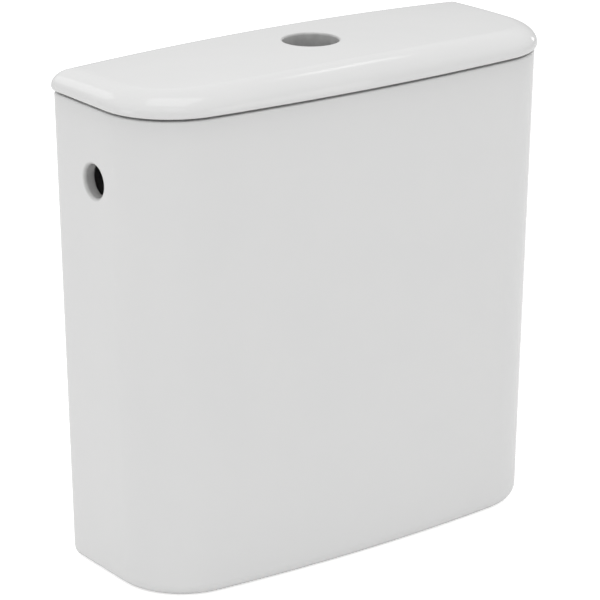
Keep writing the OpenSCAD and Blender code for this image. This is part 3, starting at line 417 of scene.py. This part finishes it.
# Ceramic: glaze with faint clouding and waves, painted shade in the holes and towards the rim, bare fired
# clay on the foot
GLAZE_LIGHT = (0.808, 0.808, 0.805)
GLAZE_DARK = (0.800, 0.801, 0.799)
# Painted shade: darker glaze colours for the band under the lid's edge
GLAZE_SHADED = (0.737, 0.738, 0.735)
GLAZE_SHADED_DARK = (0.729, 0.730, 0.727)
# Painted shade: grey colours for the walls of the holes
PAINTED_HOLE_SHADE = (0.57, 0.57, 0.565)
PAINTED_HOLE_SHADE_DARK = (0.51, 0.51, 0.505)
BARE_CLAY = (0.70, 0.67, 0.61)
BARE_CLAY_DARK = (0.62, 0.58, 0.51)

# Heights where clay gives way to glaze, share of a hole's rounding in full painted shade, and depth of
# painted rim shade
TANK_GLAZE_FROM = 0.0002
TANK_GLAZE_FULL = 0.0006
LID_GLAZE_FROM = LID_LOW - RIB_HEIGHT + 0.0002
LID_GLAZE_FULL = LID_LOW - RIB_HEIGHT + 0.0008
HOLE_SHADE_SHARE = 0.2
RIM_SHADE = 0.05
RIM_SHADE_STOPS = [(0.0, 0.0), (0.4, 0.1), (0.64, 0.22), (0.8, 0.42), (0.9, 0.65), (1.0, 1.0)]


def glaze(name, bare_low, bare_high, hole_point, hole_across, hole_radius, hole_edge):
    """Shader and colour of a glazed piece: bare clay on its foot, painted shade in the holes of one axis."""
    shader = Shader(name, IOR=1.5)
    clouds = shader.ramp(shader.noise(16, 3), [(0.35, GLAZE_DARK), (0.65, GLAZE_LIGHT)])
    clay = shader.ramp(shader.noise(900, 4), [(0.3, BARE_CLAY_DARK), (0.6, BARE_CLAY)])
    # Painted shade: the holes' walls and rounded edges turn grey in place of their shade
    hole_shade = shader.ramp(shader.noise(160, 3), [(0.35, PAINTED_HOLE_SHADE_DARK), (0.65, PAINTED_HOLE_SHADE)])
    glazed = shader.within(shader.height(), bare_low, bare_high)
    in_hole = shader.near_axis(
        hole_point, hole_across, hole_radius + HOLE_SHADE_SHARE * hole_edge, hole_radius + hole_edge)
    colour = shader.mix(glazed, clay, shader.mix(in_hole, clouds, hole_shade))
    gloss = shader.ramp(shader.noise(40, 3), [(0.3, 0.07), (0.7, 0.13)])
    matt = shader.ramp(shader.noise(700, 3), [(0.3, 0.75), (0.7, 0.9)])
    shader.use("Roughness", shader.mix(glazed, matt, gloss))
    shader.bump(shader.noise(38, 1), 0.0003, 0.25)
    return shader, colour


def tank_material():
    """Glaze with painted shade towards the rim, under the lid's edge, the darker the nearer."""
    shader, colour = glaze(
        "tank_glaze", TANK_GLAZE_FROM, TANK_GLAZE_FULL,
        (0, SIDE_HOLE_Y, SIDE_HOLE_Z), (0, 1, 1), SIDE_HOLE, SIDE_HOLE_EDGE)
    # Painted shade: the glaze darkens over the top RIM_SHADE of the tank, most at the rim
    below_lid = shader.within(shader.height(), TANK_HEIGHT - RIM_SHADE, TANK_HEIGHT)
    shade = shader.ramp(below_lid, RIM_SHADE_STOPS)
    shaded = shader.ramp(shader.noise(16, 3), [(0.35, GLAZE_SHADED_DARK), (0.65, GLAZE_SHADED)])
    shader.use("Base Color", shader.mix(shade, colour, shaded))
    return shader.material


def lid_material():
    shader, colour = glaze(
        "lid_glaze", LID_GLAZE_FROM, LID_GLAZE_FULL,
        (0, VALVE_Y, 0), (1, 1, 0), BUTTON_HOLE, BUTTON_HOLE_EDGE)
    shader.use("Base Color", colour)
    return shader.material


tank_glaze = tank_material()
lid_glaze = lid_material()


def plastic(name, light, dark, roughness, **sockets):
    """Moulded plastic: faint flow clouding, uneven gloss and a fine moulded grain."""
    shader = Shader(name, **sockets)
    shader.use("Base Color", shader.ramp(shader.noise(55, 3), [(0.3, dark), (0.7, light)]))
    gloss = [(0.3, roughness - 0.06), (0.7, roughness + 0.06)]
    shader.use("Roughness", shader.ramp(shader.noise(120, 3), gloss))
    shader.bump(shader.noise(1600, 2), 0.00005, 0.25)
    return shader.material


def rubber(name, light, dark):
    """Matt moulded rubber with a dusty bloom."""
    shader = Shader(name)
    shader.use("Base Color", shader.ramp(shader.noise(180, 4), [(0.35, dark), (0.75, light)]))
    shader.use("Roughness", shader.ramp(shader.noise(260, 3), [(0.3, 0.62), (0.7, 0.82)]))
    shader.bump(shader.noise(1300, 3), 0.0001, 0.4)
    return shader.material


def foam():
    """Closed-cell foam rubber of the coupling gasket, with fine pores."""
    shader = Shader("foam_rubber")
    pores = shader.noise(900, 5)
    shader.use("Base Color", shader.ramp(pores, [(0.35, (0.012, 0.012, 0.013)), (0.6, (0.05, 0.05, 0.052))]))
    shader.use("Roughness", shader.ramp(shader.noise(300, 3), [(0.3, 0.8), (0.7, 0.95)]))
    shader.bump(pores, 0.0004, 0.7)
    return shader.material


def metal(name, light, dark, rough_low, rough_high, stretch, **sockets):
    """Metal with drawn or turned marks along one axis and uneven polish."""
    shader = Shader(name, Metallic=1.0, **sockets)
    marks = shader.noise(600, 3, stretch)
    shader.use("Base Color", shader.ramp(shader.noise(70, 4), [(0.3, dark), (0.7, light)]))
    shader.use("Roughness", shader.ramp(marks, [(0.25, rough_low), (0.75, rough_high)]))
    shader.bump(marks, 0.00003, 0.3)
    return shader.material


SLOT_MATERIALS = {
    "glaze": tank_glaze,
    "soft_pad": rubber("soft_pad", (0.20, 0.20, 0.195), (0.14, 0.14, 0.138)),
    "white_plastic": plastic("white_plastic", (0.80, 0.80, 0.775), (0.76, 0.76, 0.735), 0.34),
    "grey_plastic": plastic("grey_plastic", (0.47, 0.50, 0.54), (0.41, 0.44, 0.48), 0.42),
    "blue_plastic": plastic("blue_plastic", (0.07, 0.22, 0.58), (0.05, 0.17, 0.50), 0.32),
    "green_plastic": plastic("green_plastic", (0.13, 0.47, 0.24), (0.10, 0.40, 0.19), 0.32),
    "black_rubber": rubber("black_rubber", (0.045, 0.045, 0.045), (0.022, 0.022, 0.022)),
    "foam_rubber": foam(),
    "red_rubber": rubber("red_rubber", (0.47, 0.08, 0.06), (0.38, 0.055, 0.04)),
    "steel": metal("steel", (0.64, 0.64, 0.63), (0.54, 0.54, 0.54), 0.2, 0.38, (1, 1, 12)),
    "brass": metal("brass", (0.74, 0.58, 0.30), (0.62, 0.45, 0.20), 0.2, 0.36, (1, 1, 12)),
    "dark_plastic": plastic("dark_plastic", (0.032, 0.033, 0.035), (0.022, 0.023, 0.025), 0.38),
}

for part in frame["record"]["subparts"]:
    node = frame["nodes"][part["node"]]
    node.data.materials.clear()
    node.data.materials.append(SLOT_MATERIALS[part["material_slot"]])


# Tank: floor, inside wall, rim, outside wall, foot, skirt and underside, closed through the outlet hole
VALVE_CENTRE = (0.0, VALVE_Y)
FAR_OFF = Vector((9.0, 9.0))


def floor_rings(z, inset, steps):
    """Rings on a floor from the outlet hole to the tank's plan."""
    rim = tank_ring(z, inset)
    hole = circle_towards(rim, VALVE_CENTRE, OUTLET_HOLE, z)
    return [between(hole, rim, s) for s in shares(steps)]


def tank_mesh():
    lattice = Lattice()
    wall_low = FLOOR_HEIGHT + FLOOR_FILLET
    wall_high = TANK_HEIGHT - 2 * RIM_EDGE
    levels = [wall_low + (wall_high - wall_low) * t for t in shares(WALL_STEPS)]
    inner_floor = lattice.add_rows(floor_rings(FLOOR_HEIGHT, WALL + FLOOR_FILLET, FLOOR_STEPS))
    lattice.add_rows(
        tank_ring(FLOOR_HEIGHT + FLOOR_FILLET * (1 - math.cos(a)), WALL + FLOOR_FILLET * (1 - math.sin(a)))
        for a in quarter(EDGE_STEPS)[1:-1]
    )
    inner_wall = lattice.add_rows(tank_ring(z, WALL) for z in levels)
    lattice.add_rows(
        tank_ring(TANK_HEIGHT - RIM_EDGE * (1 - math.sin(a)), WALL - RIM_EDGE * (1 - math.cos(a)))
        for a in quarter(EDGE_STEPS)
    )
    lattice.add_rows(
        tank_ring(TANK_HEIGHT - RIM_EDGE * (1 - math.cos(a)), RIM_EDGE * (1 - math.sin(a)))
        for a in quarter(EDGE_STEPS)
    )
    outer_wall = lattice.add_rows(tank_ring(z, 0) for z in reversed(levels))
    outer_wall.reverse()
    low_steps = WALL_STEPS // 4
    low_levels = [BASE_EDGE + (wall_low - BASE_EDGE) * t for t in shares(low_steps)]
    lattice.add_rows(tank_ring(z, 0) for z in reversed(low_levels[:-1]))
    lattice.add_rows(base_ring(a) for a in quarter(BASE_STEPS)[1:])
    lattice.add_rows(
        tank_ring(RIM_EDGE * (1 - math.cos(a)), SKIRT_WALL - RIM_EDGE * (1 - math.sin(a)))
        for a in quarter(EDGE_STEPS)
    )
    lattice.add_rows(
        tank_ring(
            SKIRT_HEIGHT - FLOOR_FILLET * (1 - math.sin(a)),
            SKIRT_WALL + FLOOR_FILLET * (1 - math.cos(a)))
        for a in quarter(EDGE_STEPS)[:-1]
    )
    under = floor_rings(SKIRT_HEIGHT, SKIRT_WALL + FLOOR_FILLET, FLOOR_STEPS)
    under_floor = lattice.add_rows(reversed(under))
    under_floor.reverse()

    def across_side(side):
        """Flat place on one side wall, with the points of the other side far off."""
        return lambda p: Vector((p.y, p.z)) if p.x * side > 0 else FAR_OFF

    def across_back(p):
        return Vector((p.x, p.z)) if p.y > -BACK_CORNER else FAR_OFF

    def across_floor(p):
        return Vector((p.x, p.y))

    for side in (-1, 1):
        lattice.bore(
            outer_wall, inner_wall, Vector((SIDE_HOLE_Y, SIDE_HOLE_Z)), SIDE_HOLE + SIDE_HOLE_EDGE,
            across_side(side), lambda angles, side=side: side_hole_rings(side, angles))
        lattice.bore(
            outer_wall, inner_wall, Vector((side * SCREW_X, SCREW_Z)), SCREW_HOLE + SMALL_EDGE,
            across_back, lambda angles, side=side: screw_hole_rings(side, angles))
        lattice.bore(
            inner_floor, under_floor, Vector((side * BOLT_X, VALVE_Y)), BOLT_HOLE + SMALL_EDGE,
            across_floor, lambda angles, side=side: bolt_hole_rings(side, angles))
    return lattice.build("glazed_tank")


def rounded_entry(radius, edge):
    """Radius and depth along the rounded edge of a hole, from the face inwards."""
    return [(radius + edge * (1 - math.sin(a)), edge * (1 - math.cos(a))) for a in quarter(EDGE_STEPS)]


def rounded_bore(radius, edge, depth):
    """Radius and depth along a hole with rounded edges at both ends."""
    entry = rounded_entry(radius, edge)
    return entry + [(r, depth - d) for r, d in reversed(entry)]


def side_hole_rings(side, angles):
    def circle(radius, depth=None):
        points = []
        for a in angles:
            y = SIDE_HOLE_Y + radius * math.cos(a)
            z = SIDE_HOLE_Z + radius * math.sin(a)
            x = LAND_X if depth is None else half_width(z) - depth
            points.append(Vector((side * x, y, z)))
        return points

    rings = [circle(r, d) for r, d in rounded_entry(SIDE_HOLE, SIDE_HOLE_EDGE)]
    rings += [circle(SIDE_HOLE), circle(LAND), circle(LAND, WALL)]
    return rings


def screw_hole_rings(side, angles):
    return [
        [Vector((side * SCREW_X + r * math.cos(a), -d, SCREW_Z + r * math.sin(a))) for a in angles]
        for r, d in rounded_bore(SCREW_HOLE, SMALL_EDGE, WALL)
    ]


def bolt_hole_rings(side, angles):
    x = side * BOLT_X
    return [
        [Vector((x + r * math.cos(a), VALVE_Y + r * math.sin(a), FLOOR_HEIGHT - d)) for a in angles]
        for r, d in rounded_bore(BOLT_HOLE, SMALL_EDGE, FLOOR_HEIGHT - SKIRT_HEIGHT)
    ]


tank = tank_mesh()
tank.data.materials.append(tank_glaze)
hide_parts("tank")
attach(tank, "cistern")


# Lid: button opening, crowned top, rounded edge, tuck, rib and underside
def on_crown(points, z):
    return [Vector((p.x, p.y, z - crown(p))) for p in points]


def lid_ring(inset):
    return ring(TANK_HEIGHT, inset - LID_OVERHANG, inset + LID_BACK_IN, LID_CORNER - LID_OVERHANG)


def lid_edge(a):
    points = lid_ring(LID_ROUND_WIDTH * (1 - math.cos(a)))
    return [Vector((p.x, p.y, LID_WIDE + math.sin(a) * (LID_ROUND_HEIGHT - crown(p)))) for p in points]


def lid_tuck(a):
    points = lid_ring((LID_OVERHANG + RIM_EDGE) * (1 - math.cos(a)))
    return [Vector((p.x, p.y, LID_WIDE - (LID_WIDE - LID_LOW) * math.sin(a))) for p in points]


def lid_mesh():
    lattice = Lattice()
    top_rim = lid_edge(math.pi / 2)
    rib_low = LID_LOW - RIB_HEIGHT
    hole = []
    for r, d in rounded_entry(BUTTON_HOLE, BUTTON_HOLE_LOW_EDGE):
        hole.append(on_crown(circle_towards(top_rim, VALVE_CENTRE, r, 0), LID_UNDER + d))
    for r, d in reversed(rounded_entry(BUTTON_HOLE, BUTTON_HOLE_EDGE)):
        hole.append(on_crown(circle_towards(top_rim, VALVE_CENTRE, r, 0), LID_TOP - d))
    lattice.add_rows(hole)
    lattice.add_rows(on_crown(between(hole[-1], top_rim, s), LID_TOP) for s in shares(TOP_STEPS)[1:-1])
    lattice.add_rows(lid_edge(a) for a in reversed(quarter(ROUND_STEPS)))
    lattice.add_rows(lid_tuck(a) for a in quarter(EDGE_STEPS)[1:])
    lattice.add_rows(
        ring(LID_LOW - RIB_ROUND * (1 - math.cos(a)), RIB_IN - RIB_ROUND * (1 - math.sin(a)),
             RIB_IN - RIB_ROUND * (1 - math.sin(a)))
        for a in quarter(EDGE_STEPS))
    lattice.add_rows(
        ring(rib_low + RIB_ROUND * (1 - math.sin(a)), RIB_IN + RIB_ROUND * (1 - math.cos(a)),
             RIB_IN + RIB_ROUND * (1 - math.cos(a)))
        for a in quarter(EDGE_STEPS))
    inner = RIB_IN + RIB_WIDTH
    lattice.add_rows(
        ring(rib_low + RIB_ROUND * (1 - math.cos(a)), inner - RIB_ROUND * (1 - math.sin(a)),
             inner - RIB_ROUND * (1 - math.sin(a)))
        for a in quarter(EDGE_STEPS))
    fillet = []
    for a in quarter(EDGE_STEPS):
        inset = inner + RIB_FILLET * (1 - math.cos(a))
        points = ring(TANK_HEIGHT, inset, inset)
        fillet.append(on_crown(points, LID_UNDER - RIB_FILLET * (1 - math.sin(a))))
    lattice.add_rows(fillet)
    lattice.add_rows(on_crown(between(fillet[-1], hole[0], s), LID_UNDER) for s in shares(FLOOR_STEPS)[1:-1])
    return lattice.build("glazed_lid")


lid = lid_mesh()
lid.data.materials.append(lid_glaze)
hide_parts("lid")
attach(lid, "lid")


# Studio: white floor and world, soft lamps
FLOOR_HALF = 4.0
FLOOR_DROP = 0.0002
FLOOR_COLOUR = (0.94, 0.94, 0.94, 1)
FLOOR_LIFT = 0.6
MIRRORED_FLOOR_LIFT = 0.1
AMBIENT = 0.715
HORIZON_IN_GLAZE = 0.55
HIGH_IN_GLAZE = 1.0
HIGH_SLOPE = 0.55

floor_mesh = bpy.data.meshes.new("floor")
corners = [(-FLOOR_HALF, -FLOOR_HALF, 0), (FLOOR_HALF, -FLOOR_HALF, 0), (FLOOR_HALF, FLOOR_HALF, 0),
           (-FLOOR_HALF, FLOOR_HALF, 0)]
floor_mesh.from_pydata(corners, [], [(0, 1, 2, 3)])
floor = bpy.data.objects.new("floor", floor_mesh)
floor.location.z = -FLOOR_DROP
bpy.context.scene.collection.objects.link(floor)


def mirrored_rays(nodes, links):
    """Light Path's camera rays, and an output that is 1 for glossy and transmission rays."""
    path = nodes.new("ShaderNodeLightPath")
    either = nodes.new("ShaderNodeMath")
    either.operation = "MAXIMUM"
    links.new(path.outputs["Is Glossy Ray"], either.inputs[0])
    links.new(path.outputs["Is Transmission Ray"], either.inputs[1])
    return path.outputs["Is Camera Ray"], either.outputs[0]


def strength(nodes, links, share, low, high):
    """Strength that runs from one number or output to another with a share."""
    node = nodes.new("ShaderNodeMapRange")
    links.new(share, node.inputs["Value"])
    for name, value in (("To Min", low), ("To Max", high)):
        if isinstance(value, float):
            node.inputs[name].default_value = value
        else:
            links.new(value, node.inputs[name])
    return node.outputs["Result"]


floor_material = bpy.data.materials.new("floor")
floor_material.use_nodes = True
floor_nodes = floor_material.node_tree.nodes
floor_links = floor_material.node_tree.links
floor_nodes.remove(floor_nodes["Principled BSDF"])
paper = floor_nodes.new("ShaderNodeBsdfDiffuse")
paper.inputs["Color"].default_value = FLOOR_COLOUR
lift = floor_nodes.new("ShaderNodeEmission")
seen, mirrored = mirrored_rays(floor_nodes, floor_links)
mirrored_lift = strength(floor_nodes, floor_links, mirrored, 0.0, MIRRORED_FLOOR_LIFT)
floor_links.new(strength(floor_nodes, floor_links, seen, mirrored_lift, FLOOR_LIFT), lift.inputs["Strength"])
floor_sum = floor_nodes.new("ShaderNodeAddShader")
floor_links.new(paper.outputs[0], floor_sum.inputs[0])
floor_links.new(lift.outputs[0], floor_sum.inputs[1])
floor_links.new(floor_sum.outputs[0], floor_nodes["Material Output"].inputs["Surface"])
floor_mesh.materials.append(floor_material)

# World: white to the camera, plain to the light, and in the glaze paler upwards, as a studio's walls are
world = bpy.data.worlds.new("studio")
world.use_nodes = True
bpy.context.scene.world = world
world_nodes = world.node_tree.nodes
world_links = world.node_tree.links
sky = world_nodes["Background"]
sky.inputs["Color"].default_value = (1, 1, 1, 1)
sky_place = world_nodes.new("ShaderNodeTexCoord")
sky_parts = world_nodes.new("ShaderNodeSeparateXYZ")
world_links.new(sky_place.outputs["Generated"], sky_parts.inputs["Vector"])
mirrored_sky = world_nodes.new("ShaderNodeMapRange")
mirrored_sky.inputs["From Max"].default_value = HIGH_SLOPE
mirrored_sky.inputs["To Min"].default_value = HORIZON_IN_GLAZE
mirrored_sky.inputs["To Max"].default_value = HIGH_IN_GLAZE
world_links.new(sky_parts.outputs["Z"], mirrored_sky.inputs["Value"])
seen, mirrored = mirrored_rays(world_nodes, world_links)
lit_or_mirrored = strength(world_nodes, world_links, mirrored, AMBIENT, mirrored_sky.outputs["Result"])
world_links.new(strength(world_nodes, world_links, seen, lit_or_mirrored, 1.0), sky.inputs["Strength"])


def area_lamp(name, place, size, watts):
    """Square soft box aimed at the middle of the cistern."""
    data = bpy.data.lights.new(name, "AREA")
    data.energy = watts
    data.size = size
    lamp = bpy.data.objects.new(name, data)
    lamp.location = place
    lamp.rotation_euler = (TARGET - Vector(place)).to_track_quat("-Z", "Y").to_euler()
    bpy.context.scene.collection.objects.link(lamp)


area_lamp("overhead", (-0.3, -0.3, 2.3), 1.5, 8.6)
area_lamp("key", (-1.1, -1.6, 1.8), 1.0, 1.4)
area_lamp("left", (-2.2, 0.2, 0.35), 0.7, 2.0)
area_lamp("front", (1.0, -2.2, 0.4), 0.8, 2.1)
area_lamp("back", (-0.75, 1.7, 1.4), 0.8, 1.5)
area_lamp("window", (1.4, 2.4, 1.66), 0.36, 0.06)
area_lamp("streak", (1.2, 0.2, 2.1), 0.35, 0.7)
area_lamp("right", (2.3, 0.6, 0.65), 0.3, 0.6)

bpy.context.scene.view_settings.view_transform = "Standard"
